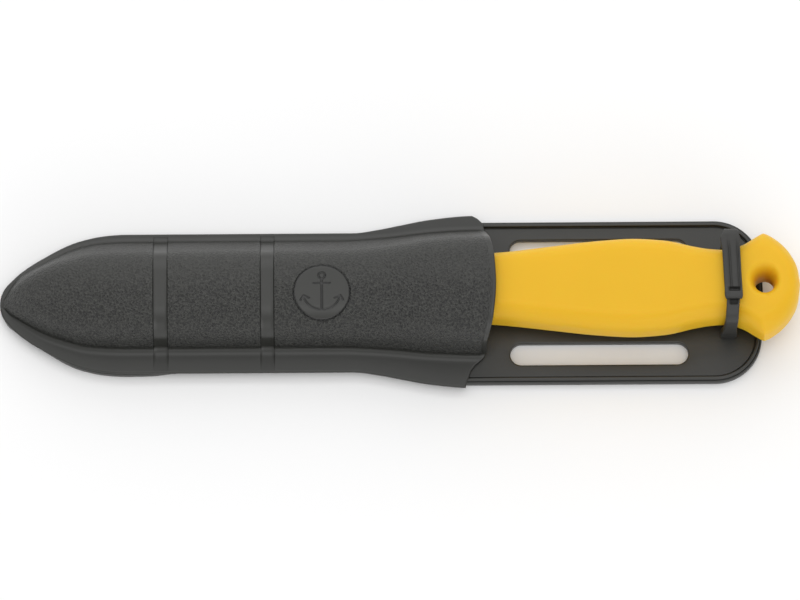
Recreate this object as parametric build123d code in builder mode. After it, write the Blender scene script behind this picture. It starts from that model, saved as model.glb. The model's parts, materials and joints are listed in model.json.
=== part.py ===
from build123d import *
import os

# Rigging knife in its belt sheath. The sheath lies on its back face.
# +X runs from the sheath's tip to the pommel, +Z out of the sheath's front, millimetres.
# Origin: middle of the length and of the width, on the back face.

# ---- driving dimensions -------------------------------------------------------------
length_overall = 245.0
x_tip = -length_overall / 2
x_pommel = length_overall / 2

# sheath
plate_thickness = 2.5
flange_thickness = 2.0
floor = plate_thickness                   # front face of the plate, which the knife lies over
flange_half_width = 22.3                  # along the blade
flange_mouth_half_width = 27.7
plate_half_width = 25.8
plate_inset = 0.4                         # plate edge stands back from the flange edge
plate_end = 111.5
plate_corner = 14.5
rim_width = 1.2
rim_height = 1.0
wall = 1.8                                # wall of the domed front shell
knife_y = 1.2                             # knife and pocket lie this far from the plate's middle

# belt slots
slot_length = 54.5
slot_width = 6.9
slot_x = 61.05
slot_y = 16.55

# knife
knife_z = floor + 10.5                    # mid-plane of blade and handle
handle_nose = 12.0
handle_half_thickness = 9.0
neck_half_width = 11.0
swell_half_width = 14.7
pommel_half_width = 16.2
x_pommel_peak = 111.7
core_half_thickness = 5.4
core_half_width = 7.4
lanyard_x = 111.65
lanyard_radius = 2.75
lanyard_land = 3.0
lanyard_mouth = 5.4

blade_tip_x = -100.0
blade_half_width = 10.5
blade_shoulder = 11.5
blade_thickness = 3.0
tang_half_width = 5.0
tang_end = 94.0
pin_radius = 2.0
pin_positions = (36.0, 76.0)
pin_clearance = 0.05

# rubber strap and hook tab
strap_x = 101.6
strap_width = 5.4
strap_thickness = 2.2
tab_width = 4.0
strap_gap = 0.3                           # free height between handle and rubber
strap_under = knife_z + handle_half_thickness + strap_gap
riser_inner = knife_y + 13.7              # inner face of the strap's riser
tab_inner = knife_y - 12.5                # inner face of the tab's riser
bar_near = -3.5                           # end bar of the strap, near and far edge
bar_far = -5.9
eye_length = 4.0
eye_width = 2.6
tab_thickness = 1.6
head_width = 1.9
head_length = 3.0
head_clearance = 0.3
anchor_head = 1.0                         # thickness of the rubber heads sunk in the back face

BIG = 200.0                               # length of cutters, longer than the object

os.makedirs("parts", exist_ok=True)


# ---- outlines -----------------------------------------------------------------------
def half_outline(inset, mouth_half_width, x_full, x_end):
    """Plan outline of the sheath from the tip to x_end, as the closed upper half."""
    side = flange_half_width - inset
    with BuildSketch() as half:
        with BuildLine():
            nose = ThreePointArc(
                (x_tip + inset, 0), (x_tip + inset + 0.75, 3.7), (x_tip + 3, 6.9 - inset)
            )
            ogive = Spline(
                [nose @ 1, (-110.2, 14.2 - inset), (-98, 20.2 - inset), (-86, side)],
                tangents=[(1, 1.1), (1, 0)],
            )
            straight = Line(ogive @ 1, (-14, side))
            flare = Spline(
                [straight @ 1, (0, side + 2.4), (x_full, mouth_half_width)],
                tangents=[(1, 0), (1, 0.05)],
            )
            Polyline(flare @ 1, (x_end, mouth_half_width), (x_end, 0), nose @ 0)
        make_face()
    return half.sketch


def mouth_region(gap):
    """Plan region in front of the shell's lip: everything there is open."""
    with BuildSketch() as region:
        with BuildLine():
            corner = Line((21.4 + gap, 32), (21.6 + gap, 27.9))
            chamfered = Line(corner @ 1, (25.2 + gap, 25.9))
            lip = Spline(
                [chamfered @ 1, (27.9 + gap, 15), (29.6 + gap, 0), (26.4 + gap, -17.4)]
            )
            notch = Spline(
                [lip @ 1, (22.6 + gap, -20.6), (20.6 + gap, -24.4), (19.9 + gap, -28.2)],
                tangents=[(-1, -1.6), (-0.1, -1)],
            )
            Polyline(notch @ 1, (19.9 + gap, -32), (BIG, -32), (BIG, 32), corner @ 0)
        make_face()
    return region.sketch


def plate_end_region(inset):
    """The belt frame behind the handle, with its two large corners."""
    half = plate_half_width - inset
    end = plate_end - inset
    radius = plate_corner - inset
    diagonal = radius * 0.7071
    centre = (end - 0.6 - radius, half - radius)
    with BuildSketch() as region:
        with BuildLine():
            top = Line((8, half), (centre[0], half))
            corner = ThreePointArc(
                top @ 1,
                (centre[0] + diagonal, centre[1] + diagonal),
                (centre[0] + radius, centre[1]),
            )
            bow = ThreePointArc(corner @ 1, (end, 0), (centre[0] + radius, -centre[1]))
            lower = ThreePointArc(
                bow @ 1,
                (centre[0] + diagonal, -centre[1] - diagonal),
                (centre[0], -half),
            )
            Polyline(lower @ 1, (8, -half), (8, half))
        make_face()
    return region.sketch


def plate_outline(inset):
    """Whole plan outline of the back plate."""
    upper = half_outline(plate_inset + inset, plate_half_width - inset, 14, 20)
    with BuildSketch() as outline:
        add(upper)
        mirror(about=Plane.XZ)
        add(plate_end_region(inset))
    return outline.sketch


# ---- sheath: front shell --------------------------------------------------------------
# stations along the dome: x, half width at its foot, height above the floor
dome_stations = (
    (-123.0, 2.0, 2.3),
    (-119.6, 3.4, 4.0),
    (-116.0, 6.1, 7.2),
    (-110.0, 9.9, 11.4),
    (-103.0, 12.5, 14.6),
    (-94.0, 14.6, 16.6),
    (-80.0, 15.1, 17.0),
    (-65.0, 15.1, 17.0),
    (-50.0, 15.1, 17.0),
    (-35.0, 15.1, 17.0),
    (-18.0, 15.2, 17.0),
    (-4.0, 15.9, 18.4),
    (10.0, 17.2, 21.9),
    (32.0, 17.9, 22.8),
)
dome_draft = 1.0                          # the walls lean in by this over their height
dome_splay = 3.0                          # the upper wall's foot stands out by this much more
dome_crown = 0.7


def dome_section(x, half_width, height, skirt):
    """Cross-section of the dome on its flange; skirt is the flange's half width."""
    foot = flange_thickness
    shoulder = min(7.0, 0.55 * half_width, 0.48 * (height - foot))
    toe = min(2.0, 0.2 * (height - foot))
    lean = dome_draft * (height - foot) / 15
    crown = dome_crown * half_width / 15
    right = knife_y + half_width
    left = knife_y - half_width
    splay = dome_splay * half_width / 15
    with BuildSketch(Plane.YZ.offset(x)) as section:
        with BuildLine():
            up = Polyline(
                (-skirt, floor),
                (skirt, floor),
                (skirt, floor + foot),
                (right + splay, floor + foot),
                (right - lean, floor + height - crown),
            )
            top = ThreePointArc(
                up @ 1, (knife_y, floor + height), (left + lean, floor + height - crown)
            )
            Polyline(
                top @ 1, (left, floor + foot), (-skirt, floor + foot), (-skirt, floor)
            )
        make_face()
        fillet(section.vertices().group_by(Axis.Y)[-1], shoulder)
        feet = section.vertices().filter_by(
            lambda v: abs(v.Y - floor - foot) < 0.01 and abs(v.X) < skirt - 0.01
        )
        fillet(feet, toe)
    return section.sketch


def hollow_section(x, half_width, height):
    """Cross-section of the pocket inside the dome, one wall smaller."""
    inner_width = half_width - wall
    inner_height = height - wall
    shoulder = min(4.4, 0.5 * inner_width, 0.5 * inner_height)
    right = knife_y + inner_width
    left = knife_y - inner_width
    with BuildSketch(Plane.YZ.offset(x)) as section:
        with BuildLine():
            Polyline(
                (left, floor - 1),
                (right, floor - 1),
                (right - dome_draft, floor + inner_height),
                (left + dome_draft, floor + inner_height),
                (left, floor - 1),
            )
        make_face()
        fillet(section.vertices().group_by(Axis.Y)[-1], shoulder)
    return section.sketch


skirt = 31.0
with BuildPart() as front_shell:
    loft([dome_section(x, w, h, skirt) for x, w, h in dome_stations])
    with BuildSketch(Plane.XY.offset(floor)):
        shell_half = half_outline(0, flange_mouth_half_width, 22, 32)
        add(shell_half)
        mirror(about=Plane.XZ)
    extrude(amount=40, mode=Mode.INTERSECT)
    loft(
        [hollow_section(x, w, h) for x, w, h in dome_stations[2:]]
        + [hollow_section(36, 17.9, 22.8)],
        mode=Mode.SUBTRACT,
    )
    with BuildSketch(Plane.XY.offset(floor - 5)):
        add(mouth_region(0))
    extrude(amount=60, mode=Mode.SUBTRACT)

front_shell.part.label = "front_shell"
export_step(front_shell.part, "parts/front_shell.step")


# ---- sheath: back plate ---------------------------------------------------------------
with BuildPart() as rim:
    with BuildSketch(Plane.XY.offset(floor)):
        add(plate_outline(0))
        add(plate_outline(rim_width), mode=Mode.SUBTRACT)
    extrude(amount=rim_height)
    with BuildSketch(Plane.XY.offset(floor)):
        add(mouth_region(0.15))
    extrude(amount=rim_height, mode=Mode.INTERSECT)

riser_y = riser_inner + strap_thickness / 2
tab_y = tab_inner - strap_thickness / 2
anchor_clearance = 0.05
anchor_lip = 1.5                          # the rubber heads are this much wider all round

with BuildPart() as back_plate:
    with BuildSketch():
        add(plate_outline(0))
    extrude(amount=plate_thickness)
    add(rim.part)
    with BuildSketch():
        with Locations((slot_x, slot_y), (slot_x, -slot_y)):
            SlotOverall(slot_length, slot_width)
    extrude(amount=BIG, both=True, mode=Mode.SUBTRACT)
    for anchor_y, anchor_width in ((riser_y, strap_width), (tab_y, tab_width)):
        with BuildSketch():
            with Locations((strap_x, anchor_y)):
                Rectangle(
                    anchor_width + 2 * anchor_clearance,
                    strap_thickness + 2 * anchor_clearance,
                )
        extrude(amount=plate_thickness, mode=Mode.SUBTRACT)
        with BuildSketch():
            with Locations((strap_x, anchor_y)):
                Rectangle(
                    anchor_width + 2 * anchor_lip + 2 * anchor_clearance,
                    strap_thickness + 2 * anchor_lip + 2 * anchor_clearance,
                )
        extrude(amount=anchor_head, mode=Mode.SUBTRACT)

back_plate.part.label = "back_plate"
export_step(back_plate.part, "parts/back_plate.step")


# ---- sheath: blade liner ----------------------------------------------------------------
liner_start = -92.0
liner_end = 8.0
liner_skin = 0.9
liner_half_width = 11.5
slot_clearance = 0.3
slot_half_height = blade_thickness / 2 + 0.2
sleeve_low = knife_z - slot_half_height - liner_skin
sleeve_high = knife_z + slot_half_height + liner_skin
ceiling = floor + 17.0 - wall - 0.4       # liner ribs stop short of the dome's ceiling
rib_thickness = 1.6
rib_pitch = 25.0

with BuildPart() as blade_liner:
    with BuildSketch(Plane.YZ.offset(liner_start)):
        with Locations((knife_y, (sleeve_low + sleeve_high) / 2)):
            Rectangle(2 * liner_half_width, sleeve_high - sleeve_low)
    extrude(amount=liner_end - liner_start)
    top_edges = blade_liner.edges().filter_by(Axis.X).group_by(Axis.Z)[-1]
    chamfer(top_edges, 1.0)
    for rib in range(4):
        rib_x = liner_start + 4 + rib * rib_pitch
        with BuildSketch(Plane.YZ.offset(rib_x)):
            with Locations((knife_y, (floor + sleeve_low) / 2)):
                Rectangle(2 * liner_half_width, sleeve_low - floor)
            with Locations((knife_y, (sleeve_high + ceiling) / 2)):
                Rectangle(liner_half_width, ceiling - sleeve_high)
        extrude(amount=rib_thickness)
    with BuildSketch(Plane.YZ.offset(liner_start - 1)):
        with Locations((knife_y, knife_z)):
            Rectangle(
                2 * (blade_half_width + slot_clearance), 2 * slot_half_height
            )
    extrude(amount=BIG, mode=Mode.SUBTRACT)

blade_liner.part.label = "blade_liner"
export_step(blade_liner.part, "parts/blade_liner.step")


# ---- knife: blade with its tang ------------------------------------------------------------
edge_thickness = 0.4
bevel_height = 7.0
serration_radius = 1.9
serration_pitch = 3.5
serration_count = 9

with BuildPart() as blade:
    with BuildSketch(Plane.YZ.offset(blade_tip_x - 1)):
        with BuildLine():
            Polyline(
                (knife_y + blade_half_width, knife_z - blade_thickness / 2),
                (knife_y + blade_half_width, knife_z + blade_thickness / 2),
                (knife_y - blade_half_width + bevel_height, knife_z + blade_thickness / 2),
                (knife_y - blade_half_width, knife_z + edge_thickness / 2),
                (knife_y - blade_half_width, knife_z - edge_thickness / 2),
                (knife_y - blade_half_width + bevel_height, knife_z - blade_thickness / 2),
                close=True,
            )
        make_face()
    extrude(amount=blade_shoulder - blade_tip_x + 1)
    with BuildSketch(Plane.XY.offset(knife_z - 5)):
        with BuildLine():
            spine_y = knife_y + blade_half_width
            edge_y = knife_y - blade_half_width
            spine = Line((blade_shoulder, spine_y), (-78, spine_y))
            point = Spline(
                [spine @ 1, (-92, spine_y - 5.5), (blade_tip_x, knife_y - 2.5)],
                tangents=[(-1, 0), (-0.2, -1)],
            )
            belly = Spline(
                [point @ 1, (-97.5, edge_y + 2.6), (-90, edge_y)],
                tangents=[(-0.1, -1), (1, 0)],
            )
            Polyline(belly @ 1, (blade_shoulder, edge_y), (blade_shoulder, spine_y))
        make_face()
    extrude(amount=10, mode=Mode.INTERSECT)
    with BuildSketch(Plane.XY.offset(knife_z - 5)):
        for scallop in range(serration_count):
            with Locations((serration_pitch * (scallop - serration_count) + 4, edge_y - 0.6)):
                Circle(serration_radius)
    extrude(amount=10, mode=Mode.SUBTRACT)
    with BuildSketch(Plane.XY.offset(knife_z - blade_thickness / 2)):
        with Locations(((blade_shoulder + tang_end) / 2, knife_y)):
            Rectangle(tang_end - blade_shoulder, 2 * tang_half_width)
    extrude(amount=blade_thickness)
    with Locations([(x, knife_y, knife_z) for x in pin_positions]):
        Cylinder(pin_radius + pin_clearance, 10, mode=Mode.SUBTRACT)

blade.part.label = "blade"
export_step(blade.part, "parts/blade.step")


# ---- knife: tang pins ------------------------------------------------------------------------
with BuildPart() as tang_pins:
    with Locations([(x, knife_y, knife_z) for x in pin_positions]):
        Cylinder(pin_radius, 2 * core_half_thickness)

tang_pins.part.label = "tang_pins"
export_step(tang_pins.part, "parts/tang_pins.step")


# ---- knife: handle core ------------------------------------------------------------------------
core_start = 14.0
core_end = 102.0

with BuildPart() as handle_core:
    with BuildSketch(Plane.XY.offset(knife_z - core_half_thickness)):
        with Locations(((core_start + core_end) / 2, knife_y)):
            RectangleRounded(core_end - core_start, 2 * core_half_width, 3)
    extrude(amount=2 * core_half_thickness)
    with Locations(((core_start + tang_end) / 2, knife_y, knife_z)):
        Box(tang_end - core_start, 2 * tang_half_width, blade_thickness, mode=Mode.SUBTRACT)
    with Locations([(x, knife_y, knife_z) for x in pin_positions]):
        Cylinder(pin_radius + pin_clearance, 2 * core_half_thickness, mode=Mode.SUBTRACT)

handle_core.part.label = "handle_core"
export_step(handle_core.part, "parts/handle_core.step")


# ---- knife: handle grip -------------------------------------------------------------------------
# stations along the grip: x, half width, half thickness
grip_stations = (
    (handle_nose, 9.4, 7.6),
    (19.0, 10.0, 8.8),
    (30.0, 10.4, 9.0),
    (48.0, 12.6, 9.0),
    (60.0, 14.0, 9.0),
    (71.3, swell_half_width, 9.0),
    (81.0, 14.2, 9.0),
    (90.0, 12.2, 9.0),
    (98.5, neck_half_width, 9.0),
    (105.0, 12.4, 9.0),
    (x_pommel_peak, pommel_half_width, 8.8),
    (124.0, 23.0, 8.0),
)
grip_round = 5.0                          # rounding of the grip's long edges


def grip_section(x, half_width, half_thickness):
    """Cross-section of the grip, a rounded rectangle."""
    with BuildSketch(Plane.YZ.offset(x)) as section:
        with Locations((knife_y, knife_z)):
            RectangleRounded(2 * half_width, 2 * half_thickness, grip_round)
    return section.sketch


with BuildPart() as handle_grip:
    loft([grip_section(x, w, t) for x, w, t in grip_stations])
    with BuildSketch(Plane.XY.offset(knife_z - 20)):
        with BuildLine():
            end = ThreePointArc(
                (x_pommel_peak, knife_y + pommel_half_width),
                (x_pommel, knife_y),
                (x_pommel_peak, knife_y - pommel_half_width),
            )
            Polyline(
                end @ 1,
                (x_pommel_peak, -30),
                (handle_nose, -30),
                (handle_nose, 30),
                (x_pommel_peak, 30),
                end @ 0,
            )
        make_face()
    extrude(amount=40, mode=Mode.INTERSECT)
    with BuildSketch(Plane.XY.offset(knife_z - core_half_thickness)):
        with Locations(((core_start + core_end) / 2, knife_y)):
            RectangleRounded(core_end - core_start, 2 * core_half_width, 3)
    extrude(amount=2 * core_half_thickness, mode=Mode.SUBTRACT)
    with Locations((handle_nose + 1, knife_y, knife_z)):
        Box(4, 2 * tang_half_width, blade_thickness, mode=Mode.SUBTRACT)
    with Locations((lanyard_x, knife_y, knife_z)):
        Cylinder(lanyard_radius, BIG, mode=Mode.SUBTRACT)
    funnel_depth = handle_half_thickness - lanyard_land / 2
    for side in (1, -1):
        with Locations((lanyard_x, knife_y, knife_z + side * (lanyard_land + funnel_depth) / 2)):
            Cone(
                lanyard_radius if side > 0 else lanyard_mouth,
                lanyard_mouth if side > 0 else lanyard_radius,
                funnel_depth,
                mode=Mode.SUBTRACT,
            )

handle_grip.part.label = "handle_grip"
export_step(handle_grip.part, "parts/handle_grip.step")


# ---- rubber strap: fixed riser --------------------------------------------------------------------
hinge_z = strap_under + strap_thickness / 2
hinge_gap = 0.05


def rubber_anchor(anchor_y, width):
    """Head sunk in the plate's back face, and the post through the plate."""
    with Locations((strap_x, anchor_y, anchor_head / 2)):
        Box(width + 2 * anchor_lip, strap_thickness + 2 * anchor_lip, anchor_head)
    with Locations((strap_x, anchor_y, (anchor_head + plate_thickness) / 2)):
        Box(width, strap_thickness, plate_thickness - anchor_head)


with BuildPart() as strap_riser:
    rubber_anchor(riser_y, strap_width)
    riser_top = hinge_z - strap_thickness / 2 - hinge_gap
    with Locations((strap_x, riser_y, (floor + riser_top) / 2)):
        Box(strap_width, strap_thickness, riser_top - floor)

strap_riser.part.label = "strap_riser"
export_step(strap_riser.part, "parts/strap_riser.step")


# ---- rubber strap: free end with eye and end bar ------------------------------------------------------
step_gap = 0.2
bar_under = strap_under + tab_thickness + step_gap
bar_thickness = 1.9
bar_top = bar_under + bar_thickness
strap_top = strap_under + strap_thickness
step_y = 4.6                              # the strap starts to rise over the tab here

with BuildPart() as strap_tongue:
    with BuildSketch(Plane.YZ.offset(strap_x - strap_width / 2)):
        with BuildLine():
            under = Polyline(
                (riser_y, strap_under), (step_y, strap_under), (step_y - 2, bar_under),
                (bar_far, bar_under), (bar_far, bar_top), (step_y - 1.6, bar_top),
                (step_y + 0.9, strap_top), (riser_y, strap_top),
            )
            ThreePointArc(
                under @ 1, (riser_y + strap_thickness / 2, hinge_z), under @ 0
            )
        make_face()
    extrude(amount=strap_width)
    with BuildSketch(Plane.XY.offset(strap_under - 1)):
        with Locations((strap_x, bar_near + eye_length / 2)):
            Rectangle(eye_width, eye_length)
    extrude(amount=10, mode=Mode.SUBTRACT)
    ends = strap_tongue.edges().filter_by(Axis.Z).group_by(Axis.Y)[0]
    fillet(ends, 0.8)

strap_tongue.part.label = "strap_tongue"
export_step(strap_tongue.part, "parts/strap_tongue.step")


# ---- rubber hook tab ------------------------------------------------------------------------------------
tab_end = step_y - 3.0
tab_outer = tab_inner - strap_thickness
tab_top = strap_under + tab_thickness
head_y = bar_near + head_clearance
head_top = bar_top + 0.6

with BuildPart() as hook_tab:
    rubber_anchor(tab_y, tab_width)
    with BuildSketch(Plane.YZ.offset(strap_x - tab_width / 2)):
        with BuildLine():
            Polyline(
                (tab_outer, floor), (tab_inner, floor), (tab_inner, strap_under),
                (tab_end, strap_under), (tab_end, tab_top), (tab_outer, tab_top),
                close=True,
            )
        make_face()
    extrude(amount=tab_width)
    bend = hook_tab.edges().filter_by(Axis.X).filter_by_position(
        Axis.Y, tab_outer - 0.1, tab_outer + 0.1
    )
    fillet(bend.sort_by(Axis.Z)[-1], 3.0)
    with Locations((strap_x, head_y + head_length / 2, (tab_top + head_top) / 2)):
        Box(head_width, head_length, head_top - tab_top)

hook_tab.part.label = "hook_tab"
export_step(hook_tab.part, "parts/hook_tab.step")
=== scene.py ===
import json
import math

import bmesh
import bpy
import numpy as np
from mathutils import Matrix, Vector
from mathutils.geometry import delaunay_2d_cdt


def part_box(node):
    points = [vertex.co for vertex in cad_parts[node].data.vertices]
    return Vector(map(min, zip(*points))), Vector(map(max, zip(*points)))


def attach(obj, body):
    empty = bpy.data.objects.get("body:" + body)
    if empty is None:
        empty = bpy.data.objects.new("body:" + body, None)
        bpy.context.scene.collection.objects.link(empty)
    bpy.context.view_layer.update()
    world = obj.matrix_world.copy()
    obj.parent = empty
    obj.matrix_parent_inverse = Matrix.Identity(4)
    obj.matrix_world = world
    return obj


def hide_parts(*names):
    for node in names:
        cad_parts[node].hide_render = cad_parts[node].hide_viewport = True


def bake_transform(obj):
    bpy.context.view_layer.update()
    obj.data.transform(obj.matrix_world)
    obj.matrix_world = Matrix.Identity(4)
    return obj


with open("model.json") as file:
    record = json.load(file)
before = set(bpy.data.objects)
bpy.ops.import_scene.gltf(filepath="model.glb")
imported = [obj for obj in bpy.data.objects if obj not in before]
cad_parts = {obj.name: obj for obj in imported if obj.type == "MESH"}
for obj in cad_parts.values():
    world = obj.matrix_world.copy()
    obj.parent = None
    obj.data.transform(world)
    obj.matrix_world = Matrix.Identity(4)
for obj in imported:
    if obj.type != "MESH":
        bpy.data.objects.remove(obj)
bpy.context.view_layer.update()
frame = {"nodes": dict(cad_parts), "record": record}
MM = 0.001

# ---- places from the frame, in millimetres ---------------------------------------------------


def box_mm(node):
    """Lowest and highest corner of a CAD node, in millimetres."""
    low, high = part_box(node)
    return np.array(low) / MM, np.array(high) / MM


shell_low = box_mm("front_shell")[0]
plate_high = box_mm("back_plate")[1]
blade_low, blade_high = box_mm("blade")
tongue_low, tongue_high = box_mm("strap_tongue")
riser_low, riser_high = box_mm("strap_riser")
tab_low = box_mm("hook_tab")[0]

x_tip = shell_low[0]
floor = shell_low[2]                      # front face of the back plate
knife_y = (blade_low[1] + blade_high[1]) / 2
knife_z = (blade_low[2] + blade_high[2]) / 2
strap_x = (tongue_low[0] + tongue_high[0]) / 2
mounts = {mount["name"]: mount for mount in frame["record"]["mounts"]}


# ---- small tools -----------------------------------------------------------------------------
def through(x, table, column=1):
    """Smooth curve through the table's rows, without overshoot (monotone cubic)."""
    xs = np.array([row[0] for row in table], float)
    ys = np.array([row[column] for row in table], float)
    step = np.diff(xs)
    slope = np.diff(ys) / step
    tangent = np.zeros_like(ys)
    for i in range(1, len(xs) - 1):
        if slope[i - 1] * slope[i] > 0:
            a, b = 2 * step[i] + step[i - 1], step[i] + 2 * step[i - 1]
            tangent[i] = (a + b) / (a / slope[i - 1] + b / slope[i])
    tangent[0], tangent[-1] = slope[0], slope[-1]
    x = np.clip(x, xs[0], xs[-1])
    i = np.clip(np.searchsorted(xs, x) - 1, 0, len(step) - 1)
    t = (x - xs[i]) / step[i]
    return (
        ys[i] * (1 + 2 * t) * (1 - t) ** 2
        + tangent[i] * step[i] * t * (1 - t) ** 2
        + ys[i + 1] * t * t * (3 - 2 * t)
        + tangent[i + 1] * step[i] * t * t * (t - 1)
    )


def smooth_step(x):
    t = np.clip(x, 0, 1)
    return t * t * (3 - 2 * t)


def mesh_object(name, vertices_mm, faces, material):
    """A smooth-shaded mesh object from millimetre points."""
    mesh = bpy.data.meshes.new(name)
    mesh.from_pydata([tuple(v) for v in np.asarray(vertices_mm) * MM], [], faces)
    mesh.validate()
    build = bmesh.new()
    build.from_mesh(mesh)
    bmesh.ops.recalc_face_normals(build, faces=build.faces)
    build.to_mesh(mesh)
    build.free()
    mesh.shade_smooth()
    obj = bpy.data.objects.new(name, mesh)
    bpy.context.scene.collection.objects.link(obj)
    mesh.materials.append(material)
    return obj


def grid_faces(rows, cols, start=0, close_cols=False, flip=False):
    """Quads of a rows by cols grid whose first vertex has the number start."""
    faces = []
    for r in range(rows - 1):
        for c in range(cols if close_cols else cols - 1):
            n = (c + 1) % cols
            a, b = start + r * cols + c, start + r * cols + n
            quad = (a, b, b + cols, a + cols)
            faces.append(quad[::-1] if flip else quad)
    return faces


def put_attribute(obj, name, values):
    attribute = obj.data.attributes.new(name, "FLOAT", "POINT")
    attribute.data.foreach_set("value", np.asarray(values, np.float32))


def grid_normals(points):
    """Unit normals of a grid of points, shaped rows by cols by 3."""
    along = np.gradient(points, axis=0)
    across = np.gradient(points, axis=1)
    normals = np.cross(along, across)
    return normals / np.maximum(np.linalg.norm(normals, axis=2, keepdims=True), 1e-9)


# ---- materials -------------------------------------------------------------------------------
class Nodes:
    """A material with a Principled shader, and short calls for the nodes behind it."""

    def __init__(self, name, **values):
        self.material = bpy.data.materials.new(name)
        self.material.use_nodes = True
        self.tree = self.material.node_tree
        self.shader = self.tree.nodes["Principled BSDF"]
        for socket, value in values.items():
            self.shader.inputs[socket.replace("_", " ")].default_value = value

    def add(self, kind, **settings):
        node = self.tree.nodes.new(kind)
        for key, value in settings.items():
            if hasattr(node, key):
                setattr(node, key, value)
            else:
                node.inputs[key.replace("_", " ")].default_value = value
        return node

    def link(self, source, target):
        self.tree.links.new(source, target)

    def place(self, scale=(1, 1, 1)):
        """Object coordinates in metres, stretched by scale."""
        coordinates = self.add("ShaderNodeTexCoord")
        mapping = self.add("ShaderNodeMapping")
        mapping.inputs["Scale"].default_value = scale
        self.link(coordinates.outputs["Object"], mapping.inputs["Vector"])
        return mapping.outputs["Vector"]

    def noise(self, scale, detail=2.0, roughness=0.5, stretch=(1, 1, 1)):
        node = self.add("ShaderNodeTexNoise", Scale=scale, Detail=detail, Roughness=roughness)
        self.link(self.place(stretch), node.inputs["Vector"])
        return node.outputs["Fac"]

    def ramp(self, fac, low, high, at=(0.0, 1.0)):
        """Maps fac to a grey or a colour between low and high."""
        node = self.add("ShaderNodeValToRGB")
        for element, place, value in zip(node.color_ramp.elements, at, (low, high)):
            element.position = place
            element.color = (*value, 1) if isinstance(value, tuple) else (value,) * 3 + (1,)
        self.link(fac, node.inputs["Fac"])
        return node.outputs["Color"]

    def math(self, operation, a, b):
        node = self.add("ShaderNodeMath", operation=operation)
        for socket, value in zip(node.inputs, (a, b)):
            if hasattr(value, "links"):
                self.link(value, socket)
            else:
                socket.default_value = value
        return node.outputs["Value"]

    def mix(self, fac, a, b):
        """Colour mix of two colours or colour outputs."""
        node = self.add("ShaderNodeMix", data_type="RGBA")
        sockets = [s for s in node.inputs if s.enabled]
        for socket, value in zip(sockets, (fac, a, b)):
            if hasattr(value, "links"):
                self.link(value, socket)
            else:
                socket.default_value = value
        return [s for s in node.outputs if s.enabled][0]

    def attribute(self, name):
        return self.add("ShaderNodeAttribute", attribute_name=name).outputs["Fac"]

    def bump(self, height, strength, distance):
        node = self.add("ShaderNodeBump", Strength=strength, Distance=distance)
        self.link(height, node.inputs["Height"])
        self.link(node.outputs["Normal"], self.shader.inputs["Normal"])


def moulded_black(name, grain_and_painted_light):
    """Black moulded plastic. The flag is 0 for smooth, 1 for the fine spark-eroded grained surface;
    its mask also carries painted light, full on the lower side and halved on the upper, and the
    engraved lines get painted shade.
    """
    m = Nodes(name, Roughness=0.4, Specular_IOR_Level=0.62)
    cloud = m.ramp(m.noise(60, 3), (0.013, 0.0135, 0.011), (0.020, 0.0205, 0.017))
    if grain_and_painted_light:
        # the mask holds the real grained texture and painted light: its strength is halved on the
        # sheath's upper side
        mask = m.attribute("grain_and_painted_light")
        fine = m.noise(1500, 1.5, 0.5)
        height = m.math("MULTIPLY", fine, mask)
        m.bump(height, 1.0, 0.0012)
        # painted shade: the engraved lines' mask darkens the base colour towards near black,
        # standing in for the shade in the grooves
        line = m.attribute("engraved")
        pits = m.ramp(fine, (0.002, 0.002, 0.002), (0.046, 0.047, 0.041), at=(0.36, 0.64))
        grained = m.mix(m.math("MULTIPLY", mask, 0.75), cloud, pits)
        shade = m.mix(line, grained, (0.004, 0.004, 0.004, 1))
        m.link(shade, m.shader.inputs["Base Color"])
        rough = m.math("ADD", m.math("MULTIPLY", mask, 0.14), 0.36)
        m.link(m.math("ADD", rough, m.math("MULTIPLY", fine, 0.06)), m.shader.inputs["Roughness"])
    else:
        m.link(cloud, m.shader.inputs["Base Color"])
        fine = m.noise(900, 3)
        m.link(m.ramp(fine, 0.34, 0.44), m.shader.inputs["Roughness"])
        m.bump(fine, 0.12, 0.0001)
    return m.material


def rubber():
    m = Nodes("strap_rubber", Roughness=0.5, Specular_IOR_Level=0.55)
    cloud = m.ramp(m.noise(180, 3), (0.016, 0.016, 0.014), (0.026, 0.025, 0.022))
    m.link(cloud, m.shader.inputs["Base Color"])
    m.link(m.ramp(m.noise(420, 4), 0.42, 0.6), m.shader.inputs["Roughness"])
    m.bump(m.noise(1400, 3), 0.18, 0.00012)
    return m.material


def yellow_grip():
    m = Nodes("grip_yellow", Roughness=0.5, Specular_IOR_Level=0.22)
    m.shader.inputs["Subsurface Weight"].default_value = 0.3
    m.shader.inputs["Subsurface Radius"].default_value = (0.007, 0.0035, 0.0008)
    m.shader.inputs["Subsurface Scale"].default_value = 1.0
    cloud = m.ramp(m.noise(45, 3), (0.755, 0.44, 0.014), (0.80, 0.47, 0.02))
    m.link(cloud, m.shader.inputs["Base Color"])
    m.link(m.ramp(m.noise(500, 4), 0.38, 0.5), m.shader.inputs["Roughness"])
    m.bump(m.noise(1800, 3), 0.14, 0.0001)
    return m.material


def steel(name, stretch):
    m = Nodes(name, Metallic=1.0, Roughness=0.3)
    streaks = m.noise(900, 4, 0.6, stretch)
    m.link(m.ramp(streaks, (0.30, 0.30, 0.295), (0.42, 0.42, 0.41)), m.shader.inputs["Base Color"])
    m.link(m.ramp(streaks, 0.22, 0.4), m.shader.inputs["Roughness"])
    m.bump(streaks, 0.15, 0.00005)
    return m.material


def dark_plastic(name, low, high):
    m = Nodes(name, Roughness=0.5)
    m.link(m.ramp(m.noise(80, 3), (low,) * 3, (high,) * 3), m.shader.inputs["Base Color"])
    m.bump(m.noise(1200, 2), 0.15, 0.0001)
    return m.material


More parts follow.
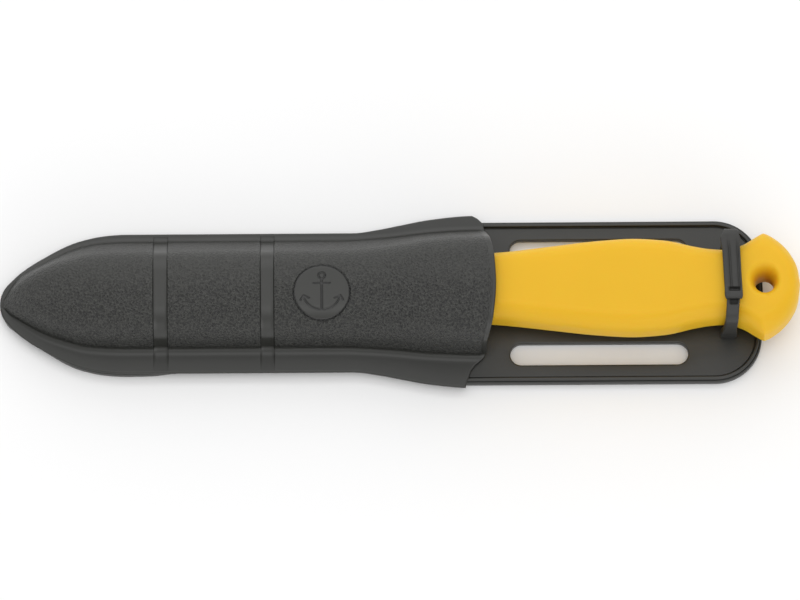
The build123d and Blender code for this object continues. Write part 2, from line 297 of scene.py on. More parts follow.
# the grained material also carries painted light (texture strength by side) and painted shade in the
# engraved lines
shell_material = moulded_black("sheath_grained_with_painted_light", 1)
plate_material = moulded_black("sheath_smooth", 0)
rubber_material = rubber()
yellow_material = yellow_grip()
blade_material = steel("blade_steel", (0.02, 1, 1))
pin_material = steel("pin_steel", (1, 1, 0.05))
core_material = dark_plastic("core_plastic", 0.07, 0.1)
liner_material = dark_plastic("liner_plastic", 0.04, 0.06)


# ---- camera, floor and light -----------------------------------------------------------------
def camera():
    """Nearly straight down on the sheath's front, tilted a little to its lower side."""
    elevation = math.radians(73.0)
    roll = math.radians(-0.38)
    data = bpy.data.cameras.new("camera")
    data.lens = 600
    data.sensor_width = 36
    cam = bpy.data.objects.new("camera", data)
    bpy.context.scene.collection.objects.link(cam)
    back = Vector((0, -math.cos(elevation), math.sin(elevation)))
    width = 245.3 * MM
    distance = width / 2 / (data.sensor_width / 2 / data.lens)
    target = Vector((0.14 * MM, 1.1 * MM, floor * MM))
    cam.rotation_mode = "QUATERNION"
    cam.location = target + back * distance
    cam.rotation_quaternion = (-back).to_track_quat("-Z", "Y")
    cam.rotation_quaternion = cam.rotation_quaternion @ Matrix.Rotation(roll, 3, "Z").to_quaternion()
    data.clip_start, data.clip_end = 0.05, 20
    bpy.context.scene.camera = cam


def floor_plane():
    size = 3.0
    corners = [(-size, -size, 0), (size, -size, 0), (size, size, 0), (-size, size, 0)]
    m = Nodes("floor", Roughness=0.8)
    paper = m.ramp(m.noise(2, 2), (0.92, 0.92, 0.92), (0.95, 0.95, 0.95))
    m.link(paper, m.shader.inputs["Base Color"])
    plane = mesh_object("floor", np.array(corners) / MM, [(0, 1, 2, 3)], m.material)


def area_light(name, location, target, size, power):
    data = bpy.data.lights.new(name, "AREA")
    data.shape = "RECTANGLE"
    data.size, data.size_y = size
    data.energy = power
    light = bpy.data.objects.new(name, data)
    light.location = location
    light.rotation_mode = "QUATERNION"
    light.rotation_quaternion = (Vector(target) - Vector(location)).to_track_quat("-Z", "Y")
    bpy.context.scene.collection.objects.link(light)


def studio():
    world = bpy.data.worlds.new("studio")
    bpy.context.scene.world = world
    world.use_nodes = True
    world.node_tree.nodes["Background"].inputs["Color"].default_value = (1, 1, 1, 1)
    world.node_tree.nodes["Background"].inputs["Strength"].default_value = 0.72
    area_light("key", (-0.1, 1.2, 1.0), (0, 0, 0), (2.6, 1.6), 11)
    area_light("top", (0.1, -0.2, 1.7), (0, 0, 0), (1.2, 1.2), 5)
    area_light("fill", (0.6, -1.3, 0.5), (0.05, 0, 0), (1.4, 0.7), 4)


bpy.context.scene.view_settings.view_transform = "Standard"
camera()
floor_plane()
studio()


# ---- front shell -----------------------------------------------------------------------------
NOSE_RADIUS = 9.43
FLANGE = 1.5
SHELL_WALL = 1.47
SHOULDER = 9.0
TOE = 2.4
RIM_ROUND = 0.5
NOSE_LENGTH = 3.0                         # the flange's round nose ends this far from the tip
MOUTH_START = 14.0                        # x where the rows begin to bend towards the lip
# x, half width of the flange
flange_sides = (
    (-119.5, 6.93), (-116.4, 9.9), (-110.2, 14.2), (-98.0, 20.2), (-90.0, 21.9),
    (-84.0, 22.3), (-14.0, 22.3), (-6.0, 23.4), (0.0, 24.6), (9.3, 26.4), (22.0, 27.6),
    (34.0, 27.7),
)
# x, half width of the dome at its foot, height above the plate
dome_stations = (
    (-122.5, 0.3, 1.51), (-121.7, 0.9, 1.58), (-120.7, 2.0, 2.6), (-118.8, 4.2, 5.2),
    (-113.3, 8.1, 10.0),
    (-104.1, 12.1, 14.3), (-94.0, 14.6, 16.5), (-84.0, 15.1, 17.0), (-18.0, 15.2, 17.0),
    (-4.0, 15.9, 18.4), (10.0, 17.2, 21.6), (20.0, 17.7, 22.4), (34.0, 17.9, 22.6),
)
# y, x of the mouth's lip
lip_line = (
    (-28.6, 19.9), (-24.4, 20.6), (-20.6, 22.8), (-17.4, 26.4), (-10.0, 28.7), (0.0, 29.5),
    (8.0, 29.1), (15.0, 27.9), (22.0, 26.5), (25.9, 25.1), (27.9, 21.8),
)
strap_bands = ((-75.5, -70.8), (-42.7, -38.2))
BAND_DEPTH = 0.25
BAND_EDGE = 0.36
EMBLEM_CENTRE = (-23.75, -1.35)
EMBLEM_RADIUS = 8.6
ENGRAVING_DEPTH = 0.34
LINE_HALF = 0.36                          # half width of an engraved line


def flange_half(x):
    nose = np.sqrt(np.maximum(2 * NOSE_RADIUS * (x - x_tip) - (x - x_tip) ** 2, 0))
    return np.where(x < x_tip + NOSE_LENGTH, nose, through(x, flange_sides))


def arc_points(centre, radius, start, stop, count):
    angle = np.linspace(start, stop, count)
    return np.stack([centre[0] + radius * np.cos(angle), centre[1] + radius * np.sin(angle)], 1)


def dome_half_section(half_width, height, flange, splay, tuck):
    """Half of a cross-section from the flange's edge to the crest: (y from the knife, z).
    The wall's foot stands out by splay, its top is tucked in by tuck, and it runs tangent
    to the shoulder above and the toe below."""
    rise = height - FLANGE
    size = half_width / 15
    shoulder = min(SHOULDER, 0.62 * half_width, 0.62 * rise)
    toe = min(TOE, 0.22 * rise)
    foot = min(half_width + splay * size, half_width + 0.8 * (flange - half_width - toe))
    above = (half_width - tuck * size - shoulder, height - shoulder)
    below = (foot + toe, FLANGE + toe)
    dy, dz = below[0] - above[0], below[1] - above[1]
    reach = min((shoulder + toe) / math.hypot(dy, dz), 1.0)
    slant = max(math.atan2(dz, dy) + math.acos(reach), 0.0)
    ledge = flange - below[0]
    steps = np.minimum([0, 0.04, 0.1, 0.2, 0.34, 0.52, 0.9], ledge * np.linspace(0, 0.5, 7))
    edge = flange - np.append(steps, [0.7 * ledge, 0.9 * ledge])
    flat = np.stack([edge, np.full(9, FLANGE)], 1)
    bend = arc_points(below, toe, -math.pi / 2, -math.pi + slant, 9)
    top = arc_points(above, shoulder, slant, math.pi / 2, 52)
    climb = np.linspace(0, 1, 8)[1:-1, None]
    wall = bend[-1] + (top[0] - bend[-1]) * climb
    crest = np.stack([np.linspace(above[0], 0, 36), np.full(36, height)], 1)[1:]
    return np.concatenate([flat, bend, wall, top, crest])


def section_at(x):
    """Whole cross-section at x, lower side first, as (y, z) in the frame."""
    height = float(through(x, dome_stations, 2))
    flange = float(flange_half(np.array(x)))
    centre = knife_y * float(smooth_step((x - x_tip) / 8))
    half_width = min(float(through(x, dome_stations, 1)), 0.9 * (flange - centre))
    lower = dome_half_section(half_width, height, flange + centre, 0.4, 0.0) * np.array([-1, 1])
    upper = dome_half_section(half_width, height, flange - centre, 2.6, 1.5)
    whole = np.concatenate([lower, upper[::-1][1:]])
    reach = np.abs(whole[:, 0]) / half_width
    share = (whole[:, 1] - FLANGE) / max(height - FLANGE, 0.1)
    whole[:, 1] -= 0.6 * half_width / 15 * reach**2 * share
    return whole + np.array([centre, floor])


def stroke(a, b, start, stop):
    """Distance from points (a, b) to the segment from start to stop."""
    da, db = stop[0] - start[0], stop[1] - start[1]
    t = np.clip(((a - start[0]) * da + (b - start[1]) * db) / (da * da + db * db), 0, 1)
    return np.hypot(a - start[0] - t * da, b - start[1] - t * db)


def anchor_lines(a, b):
    """Distance to the lines of a plain anchor in a ring about (0, 0)."""
    ring = np.abs(np.hypot(a, b) - EMBLEM_RADIUS)
    eye = np.abs(np.hypot(a, b - 5.3) - 1.0)
    shank = stroke(a, b, (0, 4.3), (0, -5.6))
    stock = stroke(a, b, (-2.5, 2.9), (2.5, 2.9))
    angle = np.degrees(np.arctan2(b - 0.2, a))
    arm = np.abs(np.hypot(a, b - 0.2) - 5.8)
    arms = np.where((angle < -16) & (angle > -164), arm, 9.0)
    marks = [ring, eye, shank, stock, arms]
    for side in (-1, 1):
        marks.append(stroke(a, b, (side * 5.6, -1.0), (side * 3.9, -1.9)))
        marks.append(stroke(a, b, (side * 5.6, -1.0), (side * 6.5, -2.6)))
    return np.minimum.reduce(marks)


def straight_stations():
    """x of the straight rows: fine at the tip, at the bands' edges and across the emblem."""
    xs = [x_tip + 0.03 + 24 * (k / 26) ** 2 for k in range(26)]
    xs += list(np.arange(x_tip + 24, MOUTH_START, 1.9))
    for band in strap_bands:
        for edge in band:
            xs += list(edge + np.arange(-0.36, 0.37, 0.12))
    xs += list(np.arange(EMBLEM_CENTRE[0] - 9.2, EMBLEM_CENTRE[0] + 9.21, 0.2))
    kept = []
    for x in sorted(xs):
        if x < MOUTH_START and (not kept or x - kept[-1] > 0.03):
            kept.append(x)
    return kept


def shell_grid():
    """Points of the shell's outer surface, and each point's distance to the mouth's lip."""
    fine_x = np.arange(MOUTH_START - 1, 32, 0.5)
    fine = np.array([section_at(x) for x in fine_x])
    columns = range(fine.shape[1])

    def point(x):
        y = [np.interp(x[k], fine_x, fine[:, k, 0]) for k in columns]
        z = [np.interp(x[k], fine_x, fine[:, k, 1]) for k in columns]
        return np.stack([x, y, z], 1)

    rows, to_lip = [], []
    for x in straight_stations():
        section = section_at(x)
        rows.append(np.column_stack([np.full(len(section), x), section]))
        to_lip.append(np.full(len(section), 30.0))
    lip = np.full(len(columns), 27.0)
    for _ in range(8):
        lip = through(point(lip)[:, 1], lip_line)
    length = lip - MOUTH_START
    for share in (0, 0.1, 0.2, 0.3, 0.4, 0.5, 0.6, 0.7, 0.78, 0.85, 0.9):
        rows.append(point(MOUTH_START + share * length))
        to_lip.append((1 - share) * length)
    for back in (0.85, 0.52, 0.34, 0.2, 0.1, 0.04, 0.0):
        rows.append(point(lip - np.minimum(back, 0.09 * length)))
        to_lip.append(np.full(len(columns), back))
    return np.array(rows), np.array(to_lip)


def rim_rounding(to_side, to_lip, above):
    """Depth by which the flange's edge and the mouth's lip are rounded off."""
    left = np.clip(RIM_ROUND - np.minimum(to_side, to_lip), 0, RIM_ROUND)
    depth = RIM_ROUND - np.sqrt(RIM_ROUND**2 - left**2)
    at_mouth = to_lip < 2
    return depth * np.where(at_mouth, 1, above == 0)


def band_mask(x):
    """1 on the smooth bands, 0 beside them."""
    band = np.zeros_like(x)
    for low, high in strap_bands:
        here = smooth_step((x - low) / BAND_EDGE) * smooth_step((high - x) / BAND_EDGE)
        band = np.maximum(band, here)
    return band


def emblem_masks(x, y, z):
    """Masks of the emblem's engraved lines and of its smooth disc. The line mask sinks the grooves
    and also paints shade into them through the material.
    """
    a, b = x - EMBLEM_CENTRE[0], y - EMBLEM_CENTRE[1]
    on_top = z > floor + 9
    near = on_top & (np.hypot(a, b) < EMBLEM_RADIUS + 0.6)
    line = np.where(near, smooth_step((LINE_HALF - anchor_lines(a, b)) / 0.2), 0)
    disc = np.where(on_top, smooth_step((EMBLEM_RADIUS - np.hypot(a, b)) / 0.4), 0)
    return line, disc


def leaning_normals(points, lean):
    """Normals of the grid where lean is 1, straight up where it is 0."""
    return grid_normals(points) * lean + np.array([0, 0, 1]) * (1 - lean)


def walled(points, lean):
    """Vertices and faces of the outer grid, an inner one, and the strips round their rim."""
    rows, cols = points.shape[:2]
    count = rows * cols
    inner = points - leaning_normals(points, lean) * SHELL_WALL
    inner[..., 2] = np.maximum(inner[..., 2], floor + 0.03)
    inner[..., 0] = np.clip(inner[..., 0], points[..., 0], points[..., 0].max())
    faces = grid_faces(rows, cols) + grid_faces(rows, cols, count, flip=True)
    numbers = np.arange(count).reshape(rows, cols)
    rim = [*numbers[0], *numbers[1:, -1], *numbers[-1, -2::-1], *numbers[-2:0:-1, 0]]
    for a, b in zip(rim, rim[1:] + rim[:1]):
        faces.append((int(a), int(a) + count, int(b) + count, int(b)))
    return np.concatenate([points.reshape(-1, 3), inner.reshape(-1, 3)]), faces


def front_shell():
    """The domed half of the sheath: flange, dome, two smooth bands and an engraved emblem."""
    points, to_lip = shell_grid()
    x, y, z = points[..., 0], points[..., 1], points[..., 2]
    nose = NOSE_RADIUS - np.hypot(x - x_tip - NOSE_RADIUS, y)
    to_side = np.where(x < x_tip + NOSE_LENGTH, nose, flange_half(x) - np.abs(y))
    above = smooth_step((z - floor - FLANGE - 0.5) / 2.0)
    band = band_mask(x)
    line, disc = emblem_masks(x, y, z)
    sink = rim_rounding(to_side, to_lip, above)
    sink += BAND_DEPTH * band * smooth_step((to_side - 0.8) / 0.5)
    sink += ENGRAVING_DEPTH * line
    lean = smooth_step((x - x_tip - 0.5) / 3)[..., None]
    vertices, faces = walled(points - leaning_normals(points, lean) * sink[..., None], lean)

    lip_band = smooth_step((to_lip - 1.2) / 0.8)
    # painted light: the grained texture's strength, its pit colours with it, is full on the lower
    # side and halved on the upper side, following how the light grazes the dome
    shade = 0.5 + 0.5 * smooth_step((knife_y + 5 - y) / 9)
    grain_and_painted_light = above * (1 - band) * (1 - disc) * lip_band * shade
    shell = mesh_object("sheath_front", vertices, faces, shell_material)
    put_attribute(shell, "grain_and_painted_light", np.concatenate([grain_and_painted_light.ravel(), np.zeros(grain_and_painted_light.size)]))
    # the engraved lines' mask, at 0.8, goes to the material as painted shade in the grooves
    put_attribute(shell, "engraved", np.concatenate([line.ravel() * 0.8, np.zeros(line.size)]))
    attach(shell, "sheath")
    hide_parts("front_shell")


# ---- back plate ------------------------------------------------------------------------------
PLATE_CORNER = 14.5
END_BOW = 0.6                             # the plate's end bows out by this much
SLOT_HALF_WIDTH = 3.45
SLOT_CORNER = 3.44
CORNER_STEPS = 14
SLOT_POINTS = 4 * CORNER_STEPS
# x, half width of the plate
plate_sides = (
    (-119.3, 6.6), (-116.0, 9.2), (-110.0, 13.4), (-98.0, 20.1), (-90.0, 21.9), (-84.0, 22.3),
    (-76.0, 22.2), (-68.0, 21.4), (-14.0, 21.4), (-6.0, 22.5), (0.0, 23.7), (7.0, 25.1),
    (14.0, 25.8),
)
# distance in from the plate's edge, height: from under the rim over the bead to the flat
rim_profile = (
    (0.35, 0.0), (0.1, 0.1), (0.0, 0.35), (0.0, floor - 0.3), (0.09, floor - 0.09),
    (0.3, floor), (0.5, floor), (0.58, floor - 0.3), (0.68, floor - 0.3), (0.74, floor + 0.7),
    (0.86, floor + 0.93), (1.06, floor + 1.0), (1.42, floor + 1.0), (1.62, floor + 0.93),
    (1.74, floor + 0.7), (1.8, floor - 0.2), (1.94, floor - 0.2), (2.02, floor), (2.3, floor),
)
# distance out from a slot's wall, height: from the front face to the back face
slot_profile = (
    (0.5, floor), (0.16, floor - 0.05), (0.04, floor - 0.17), (0, floor - 0.45), (0, 0.4),
    (0.12, 0.12), (0.4, 0),
)


def plate_outline():
    """Closed outline of the plate, counter-clockwise, with its outward normals."""
    angle = np.linspace(math.pi, math.pi / 2 + 0.82, 14)
    nose_x = x_tip + 0.4 + NOSE_RADIUS * (1 + np.cos(angle))
    nose_y = NOSE_RADIUS * np.sin(angle)
    side_x = np.concatenate([np.arange(-118.6, -84, 1.5), np.arange(-84, 14, 2.0)])
    side_y = through(side_x, plate_sides)
    end = plate_high[0]
    cx, cy = end - END_BOW - PLATE_CORNER, plate_sides[-1][1] - PLATE_CORNER
    flat_x = np.arange(14.5, cx, 4.0)
    corner = arc_points((cx, cy), PLATE_CORNER, math.pi / 2, 0, 30)
    bow_y = np.linspace(cy, 0, 8)[1:]
    bow_x = end - END_BOW * (bow_y / cy) ** 2
    top = np.concatenate(
        [
            np.stack([nose_x, nose_y], 1)[nose_x < side_x[0] - 0.4],
            np.stack([side_x, side_y], 1),
            np.stack([flat_x, np.full_like(flat_x, plate_sides[-1][1])], 1),
            corner,
            np.stack([bow_x, bow_y], 1),
        ]
    )
    bottom = top[1:-1][::-1] * np.array([1, -1])
    loop = np.concatenate([top, bottom])[::-1]
    ahead = np.roll(loop, -1, 0) - np.roll(loop, 1, 0)
    normal = np.stack([ahead[:, 1], -ahead[:, 0]], 1)
    return loop, normal / np.linalg.norm(normal, axis=1, keepdims=True)


def rounded_box(centre, half, radius):
    """Closed loop of a box with rounded corners, counter-clockwise."""
    loop = []
    for quarter, (sx, sy) in enumerate(((1, 1), (-1, 1), (-1, -1), (1, -1))):
        middle = (centre[0] + sx * (half[0] - radius), centre[1] + sy * (half[1] - radius))
        start = quarter * math.pi / 2
        loop.append(arc_points(middle, radius, start, start + math.pi / 2, CORNER_STEPS))
    return np.concatenate(loop)


def inside(loop, p):
    """True where the points p lie inside the closed loop."""
    hit = np.zeros(len(p), bool)
    for a, b in zip(loop, np.roll(loop, -1, 0)):
        crosses = (a[1] > p[:, 1]) != (b[1] > p[:, 1])
        rise = b[1] - a[1] if b[1] != a[1] else 1e-12
        hit ^= crosses & (p[:, 0] < (b[0] - a[0]) * (p[:, 1] - a[1]) / rise + a[0])
    return hit


def fill(outer, holes, extra=()):
    """Triangles between a loop and its holes; numbers run over outer, holes, then extra."""
    loops = [outer, *holes]
    points = np.concatenate(loops + ([extra] if len(extra) else []))
    edges, start = [], 0
    for loop in loops:
        count = len(loop)
        edges += [(start + k, start + (k + 1) % count) for k in range(count)]
        start += count
    result = delaunay_2d_cdt([Vector(p) for p in points], edges, [], 0, 1e-7)
    order = [ids[0] for ids in result[3]]
    faces = [tuple(order[v] for v in face) for face in result[2]]
    middles = np.array([points[list(face)].mean(axis=0) for face in faces])
    keep = inside(outer, middles)
    for hole in holes:
        keep &= ~inside(hole, middles)
    return [face for face, wanted in zip(faces, keep) if wanted]


def rim_rings(loop, normal):
    """Rings of the plate's edge. The bead sinks into the plate where the shell covers it."""
    lip = through(loop[:, 1], lip_line)
    shown = smooth_step((loop[:, 0] - lip + 2.5) / 1.5)
    vertices = []
    for inset, z in rim_profile:
        height = np.where(z > floor, floor + (z - floor) * shown, z)
        vertices += [(*p, h) for p, h in zip(loop - normal * inset, height)]
    return vertices


def slot_rings(mount):
    """Rings of a belt slot's wall."""
    x, y, _ = np.array(mount["pos_m"]) / MM
    half_length = mount["dims"]["slot_length_mm"] / 2
    vertices = []
    for offset, z in slot_profile:
        half = (half_length + offset, SLOT_HALF_WIDTH + offset)
        vertices += [(*p, z) for p in rounded_box((x, y), half, SLOT_CORNER + offset)]
    return vertices


def flat_face(points, outer, count, slots):
    """Triangles between the ring of count points that starts at outer and the slots' rings."""
    numbers = list(range(outer, outer + count))
    loops = []
    for start in slots:
        loops.append(points[start:start + SLOT_POINTS, :2])
        numbers += range(start, start + SLOT_POINTS)
    found = fill(points[outer:outer + count, :2], loops)
    return [tuple(numbers[v] for v in face) for face in found]


def back_plate():
    """The flat half of the sheath with its stepped rim and two belt slots."""
    loop, normal = plate_outline()
    count = len(loop)
    vertices = rim_rings(loop, normal)
    faces = grid_faces(len(rim_profile), count, close_cols=True)
    slots = []
    for name in ("belt_slot_upper", "belt_slot_lower"):
        slots.append(len(vertices))
        vertices += slot_rings(mounts[name])
        faces += grid_faces(len(slot_profile), SLOT_POINTS, slots[-1], close_cols=True)
    points = np.array(vertices)
    faces += flat_face(points, (len(rim_profile) - 1) * count, count, slots)
    last = (len(slot_profile) - 1) * SLOT_POINTS
    back = flat_face(points, 0, count, [start + last for start in slots])
    faces += [face[::-1] for face in back]
    plate = mesh_object("sheath_back", vertices, faces, plate_material)
    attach(plate, "sheath")
    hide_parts("back_plate")


# ---- handle grip -----------------------------------------------------------------------------
# outline of the grip and the edge of its flatter face: x, y of each
grip_keys = (
    ((12.0, 0.0), (14.2, 0.0)), ((12.0, 6.6), (14.2, 3.2)), ((12.5, 8.3), (15.0, 4.5)),
    ((14.5, 9.4), (17.0, 5.2)), ((19.0, 10.0), (20.5, 5.5)), ((30.0, 10.5), (30.0, 5.9)),
    ((40.0, 11.6), (40.0, 6.8)), ((48.0, 12.6), (48.0, 7.7)), ((60.0, 14.0), (60.0, 9.0)),
    ((71.3, 14.7), (71.3, 9.7)), ((81.0, 14.1), (80.2, 9.2)), ((90.0, 12.1), (89.0, 7.5)),
    ((94.5, 11.3), (94.0, 6.7)), ((98.5, 11.0), (98.5, 6.4)), ((102.0, 11.4), (102.4, 6.9)),
    ((105.0, 12.4), (105.4, 8.1)), ((108.6, 14.6), (107.8, 9.6)), ((110.8, 15.95), (109.4, 10.3)),
    ((111.5, 16.2), (110.2, 10.4)), ((112.7, 15.8), (111.2, 10.0)), ((116.6, 13.1), (114.2, 8.0)),
    ((119.8, 9.3), (116.6, 5.5)), ((121.8, 4.9), (118.1, 2.8)), ((122.5, 0.0), (118.5, 0.0)),
)
HOLE_X = mounts["lanyard_hole"]["pos_m"][0] / MM
HOLE_RADIUS = mounts["lanyard_hole"]["dims"]["r_mm"]
# radius, depth below the grip's face, of the lanyard hole's soft funnel
funnel = (
    (6.2, 0.0), (5.7, 0.05), (5.2, 0.22), (4.7, 0.6), (4.2, 1.25), (3.75, 2.2), (3.35, 3.4),
    (3.05, 4.8), (2.85, 6.2),
)
HOLE_LAND = 1.5                           # half length of the straight bore below the funnel
MOUTH_SQUEEZE = 0.9                       # the funnel is this much shorter towards the pommel
GRIP_HALF = 9.0                           # half thickness
CROWN = 0.5
LOOP_STATIONS = 150
HOLE_POINTS = 64
ROUND_STEPS = 12


def spread(values, count):
    """Values at evenly spaced places along the keys, by a smooth curve."""
    place = np.arange(len(values), dtype=float)
    table = tuple(zip(place, values))
    return through(np.linspace(0, place[-1], count), table)


def grip_loops():
    """Closed loops of the grip's outline and of its face, counter-clockwise from above."""
    loops = []
    for which in (0, 1):
        x = spread([key[which][0] for key in grip_keys], LOOP_STATIONS)
        y = spread([key[which][1] for key in grip_keys], LOOP_STATIONS)
        lower = np.stack([x, -y], 1)
        upper = np.stack([x, y], 1)[1:-1][::-1]
        loops.append(np.concatenate([lower, upper]) + np.array([0, knife_y]))
    return loops


def face_height(x, y):
    """Height of the grip's crowned face above the knife's middle plane."""
    nose = 1.4 * (1 - smooth_step((x - 11) / 20))
    drop = 1.1 * smooth_step((x - 106) / 16) ** 2
    reach = ((y - knife_y) / 14.7) ** 2
    return GRIP_HALF - nose - drop - CROWN * reach


def side_profile():
    """Share of the way in from the outline, share of the way up: side wall and round edge."""
    profile = [(0.0, 0.0), (0.0, 0.12)]
    for k in range(ROUND_STEPS + 1):
        turn = math.pi / 2 * k / ROUND_STEPS
        profile.append((1 - math.cos(turn), 0.24 + 0.76 * math.sin(turn)))
    return profile


def funnel_rings(sign):
    """Rings of the lanyard hole on one side of the middle plane, mouth first."""
    turns = np.linspace(0, 2 * math.pi, HOLE_POINTS + 1)[:-1]
    cos, sin = np.cos(turns), np.sin(turns)
    vertices = []
    for radius, depth in funnel:
        share = np.clip((radius - HOLE_RADIUS) / 3.45, 0, 1) * (radius > 3)
        ring_x = HOLE_X + radius * cos - MOUTH_SQUEEZE * share * np.maximum(cos, 0)
        ring_y = knife_y + radius * sin
        height = face_height(ring_x, ring_y) - depth
        vertices += [(x, y, knife_z + sign * h) for x, y, h in zip(ring_x, ring_y, height)]
    for c, s in zip(cos, sin):
        x, y = HOLE_X + HOLE_RADIUS * c, knife_y + HOLE_RADIUS * s
        vertices.append((x, y, knife_z + sign * HOLE_LAND))
    return vertices


def face_grid(loop):
    """Points spread over the grip's face, clear of its edge and of the funnel's mouth."""
    gx, gy = np.meshgrid(np.arange(15.5, 118, 1.6), np.arange(-9.2, 9.3, 1.15) + knife_y)
    grid = np.stack([gx.ravel(), gy.ravel()], 1)
    clear = np.hypot(grid[:, 0] - HOLE_X, grid[:, 1] - knife_y) > 7.0
    grid = grid[inside(loop, grid) & clear]
    apart = grid[:, None] - loop[None]
    gap = np.min(np.hypot(apart[..., 0], apart[..., 1]), 1)
    return grid[gap > 0.6]


def grip_half(outer, inner, sign):
    """One half of the grip, from the middle plane to the crowned face and the hole.
    Returns its vertices, its faces and the number of the hole's last ring's first point."""
    count = len(outer)
    rise = face_height(inner[:, 0], inner[:, 1])
    profile = side_profile()
    vertices = []
    for across, up in profile:
        ring = outer + (inner - outer) * across
        vertices += [(*p, knife_z + sign * up * h) for p, h in zip(ring, rise)]
    faces = grid_faces(len(profile), count, close_cols=True, flip=sign < 0)
    rim_start = len(vertices) - count
    hole_start = len(vertices)
    vertices += funnel_rings(sign)
    rings = len(funnel) + 1
    faces += grid_faces(rings, HOLE_POINTS, hole_start, close_cols=True, flip=sign < 0)
    points = np.array(vertices)
    loop = points[rim_start:hole_start, :2]
    mouth = points[hole_start:hole_start + HOLE_POINTS, :2]
    grid = face_grid(loop)
    numbers = list(range(rim_start, hole_start + HOLE_POINTS))
    numbers += range(len(vertices), len(vertices) + len(grid))
    height = face_height(grid[:, 0], grid[:, 1])
    vertices += [(x, y, knife_z + sign * h) for (x, y), h in zip(grid, height)]
    for face in fill(loop, [mouth], grid):
        face = tuple(numbers[v] for v in face)
        faces.append(face if sign > 0 else face[::-1])
    return vertices, faces, hole_start + (rings - 1) * HOLE_POINTS


def handle_grip():
    """The yellow two-sided grip with its waist, swell, flared pommel and lanyard hole."""
    outer, inner = grip_loops()
    top, top_faces, top_ring = grip_half(outer, inner, 1)
    low, low_faces, low_ring = grip_half(outer, inner, -1)
    start = len(top)
    faces = top_faces + [tuple(start + v for v in face) for face in low_faces]
    for k in range(HOLE_POINTS):
        n = (k + 1) % HOLE_POINTS
        faces.append((top_ring + k, top_ring + n, start + low_ring + n, start + low_ring + k))
    grip = mesh_object("grip", top + low, faces, yellow_material)
    weld = grip.modifiers.new("weld", "WELD")
    weld.merge_threshold = 0.002 * MM
    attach(grip, "knife")
    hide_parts("handle_grip")


# ---- rubber strap and hook tab ---------------------------------------------------------------
# places across a strip's outer face, in half widths
ACROSS = (
    -1, -0.985, -0.93, -0.84, -0.6, -0.38, -0.3, -0.22, -0.12, -0.02, 0.1, 0.3, 0.5, 0.6, 0.68,
    0.76, 0.84, 0.93, 0.985, 1,
)
GROOVES = (-0.22, 0.7)                    # middles of the two grooves, in half widths
GROOVE_WIDTH = 0.09


def ribbon(name, path, material):
    """A moulded strip. Each row of path: y, z of its outer face, its outward direction in
    degrees, thickness, middle x, half width, depth of the two grooves, depth of the eye."""
    across = np.array(ACROSS)
    edge = np.array([0.3, 0.15, 0.04] + [0] * 14 + [0.04, 0.15, 0.3])
    groove = sum(np.exp(-(((across - middle) / GROOVE_WIDTH) ** 2)) for middle in GROOVES)
    under = across[[19, 17, 10, 2, 0]]
    under_edge = np.array([0.25, 0.0, 0.0, 0.0, 0.25])
    vertices = []
    eye = smooth_step((across + 0.5) / 0.12) * smooth_step((0.78 - across) / 0.12)
    for y, z, turn, thick, middle, half, depth, eye_depth in path:
        out = np.array([math.cos(math.radians(turn)), math.sin(math.radians(turn))])
        for u, sink in zip(across, edge + groove * depth + eye * eye_depth):
            p = np.array([y, z]) - out * sink
            vertices.append((middle + half * u, *p))
        for u, lift in zip(under, under_edge):
            p = np.array([y, z]) - out * (thick - lift)
            vertices.append((middle + half * u, *p))
    cols = len(across) + len(under)
    faces = grid_faces(len(path), cols, close_cols=True, flip=True)
    last = (len(path) - 1) * cols
    faces.append(tuple(range(cols)))
    faces.append(tuple(range(last + cols - 1, last - 1, -1)))
    return mesh_object(name, vertices, faces, material)


def smooth_path(keys, spacing=0.3):
    """Rows between the keys, by a smooth curve through each of their numbers."""
    keys = np.array(keys, float)
    length = np.concatenate([[0], np.cumsum(np.hypot(*np.diff(keys[:, :2], axis=0).T))])
    places = np.linspace(0, length[-1], int(length[-1] / spacing))
    columns = [through(places, tuple(zip(length, column))) for column in keys.T]
    return np.stack(columns, 1)


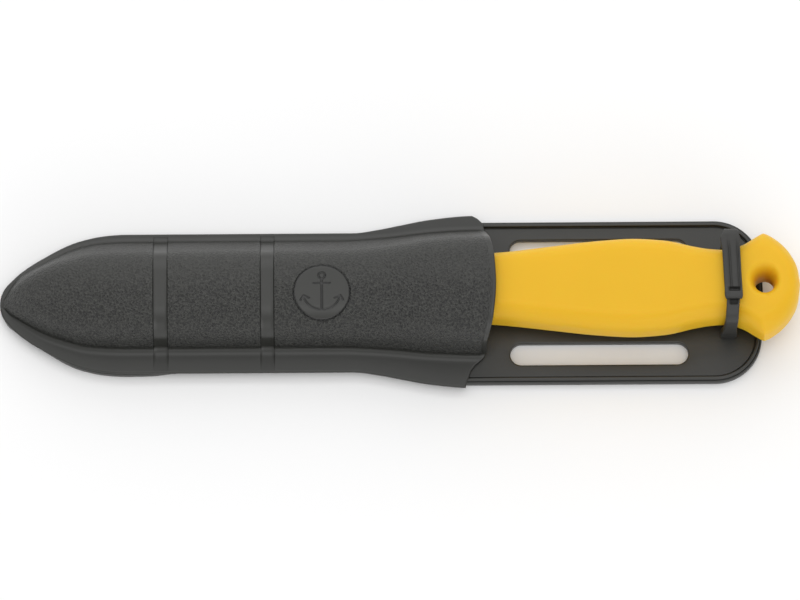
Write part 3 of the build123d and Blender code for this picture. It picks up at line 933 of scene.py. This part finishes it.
def strap():
    """The strap over the handle: riser, bend, grooved arm and thick end bar."""
    outer = (riser_low[1] + riser_high[1]) / 2 + 1.1
    top = 24.5
    thick = 2.1
    x = strap_x
    keys = (
        (outer, 0.05, 0, thick, x - 0.3, 2.9, 0, 0), (outer, 2.6, 0, thick, x - 0.3, 2.9, 0, 0),
        (outer, 4.2, 0, thick, x - 0.3, 2.75, 0, 0), (outer, 12.0, 0, thick, x - 0.3, 2.5, 0, 0),
        (outer, 19.0, 0, thick, x - 0.3, 2.2, 0, 0), (outer, 21.0, 0, thick, x - 0.3, 2.1, 0, 0),
        (outer, 22.0, 0, thick, x - 0.3, 2.1, 0, 0),
        (outer - 0.2, 22.95, 22, thick, x - 0.3, 2.05, 0, 0),
        (outer - 0.75, 23.75, 45, thick, x - 0.3, 2.15, 0, 0),
        (outer - 1.55, 24.3, 67, thick, x - 0.35, 2.35, 0, 0),
        (outer - 2.5, top, 90, thick, x - 0.45, 2.7, 0.05, 0),
        (outer - 3.5, top, 90, thick, x - 0.55, 3.05, 0.1, 0),
        (outer - 4.9, top, 90, thick, x - 0.45, 2.95, 0.3, 0),
        (10.0, top, 90, thick, x - 0.25, 2.75, 0.5, 0), (2.0, top, 90, thick, x + 0.1, 2.7, 0.5, 0),
        (-1.0, top, 90, thick, x + 0.25, 2.7, 0.5, 0),
        (-1.9, 24.6, 88, thick, x + 0.3, 2.7, 0.5, 0.1),
        (-2.15, 24.65, 88, thick, x + 0.3, 2.7, 0.3, 0.9),
        (-2.6, 24.8, 88, thick, x + 0.3, 2.7, 0, 1.5),
        (-3.1, 24.95, 88, thick, x + 0.35, 2.7, 0, 1.4),
        (-3.35, 25.0, 88, thick, x + 0.35, 2.72, 0, 0.3),
        (-3.7, 25.1, 90, thick, x + 0.35, 2.75, 0, 0.0), (-4.9, 25.15, 95, 1.9, x + 0.4, 2.75, 0, 0),
        (-5.5, 24.95, 112, 1.7, x + 0.4, 2.65, 0, 0), (-5.9, 24.3, 150, 1.0, x + 0.4, 2.5, 0, 0),
    )
    piece = ribbon("strap", smooth_path(keys, 0.22), rubber_material)
    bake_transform(piece)
    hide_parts("strap_riser", "strap_tongue")


def hook_tab():
    """The rubber tab that comes up from the sheath and buttons into the strap."""
    x = strap_x
    outer = tab_low[1] + 2.6
    keys = (
        (outer + 0.5, 0.05, 180, 1.7, x - 0.9, 1.9, 0, 0),
        (outer + 0.5, 2.5, 180, 1.7, x - 0.9, 1.9, 0, 0),
        (outer + 0.4, 3.4, 180, 1.9, x - 0.95, 2.35, 0, 0),
        (outer + 0.2, 5.0, 180, 2.0, x - 0.95, 2.5, 0, 0),
        (outer, 8.0, 180, 2.0, x - 0.9, 2.5, 0, 0), (outer, 10.5, 180, 1.9, x - 0.7, 2.15, 0, 0),
        (outer, 14.0, 180, 1.8, x - 0.5, 1.95, 0, 0), (outer, 20.4, 180, 1.7, x - 0.25, 1.95, 0, 0),
        (outer + 0.2, 21.9, 163, 1.6, x - 0.2, 1.95, 0, 0),
        (outer + 0.8, 23.0, 133, 1.6, x - 0.15, 1.95, 0, 0),
        (outer + 2.0, 23.7, 105, 1.6, x - 0.1, 1.95, 0, 0),
        (outer + 3.4, 23.95, 92, 1.6, x, 1.95, 0, 0), (-7.7, 24.0, 90, 1.6, x + 0.1, 1.95, 0, 0),
        (-7.2, 24.0, 90, 1.6, x + 0.1, 1.95, 0, 0.5), (-6.3, 24.0, 90, 1.6, x + 0.2, 2.0, 0, 0.8),
        (-5.0, 23.9, 90, 1.5, x + 0.3, 2.0, 0, 0.8), (-3.0, 23.4, 90, 1.2, x + 0.3, 1.6, 0, 0.3),
    )
    piece = ribbon("strap_tab", smooth_path(keys, 0.25), rubber_material)
    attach(piece, "sheath")
    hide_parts("hook_tab")


def finish_nodes():
    """Finishes of the CAD nodes that show as they are."""
    looks = {
        "blade": blade_material,
        "tang_pins": pin_material,
        "handle_core": core_material,
        "blade_liner": liner_material,
    }
    for name, material in looks.items():
        node = frame["nodes"][name]
        for place in node.material_slots:
            place.link = "OBJECT"
            place.material = material


front_shell()
back_plate()
handle_grip()
strap()
hook_tab()
finish_nodes()
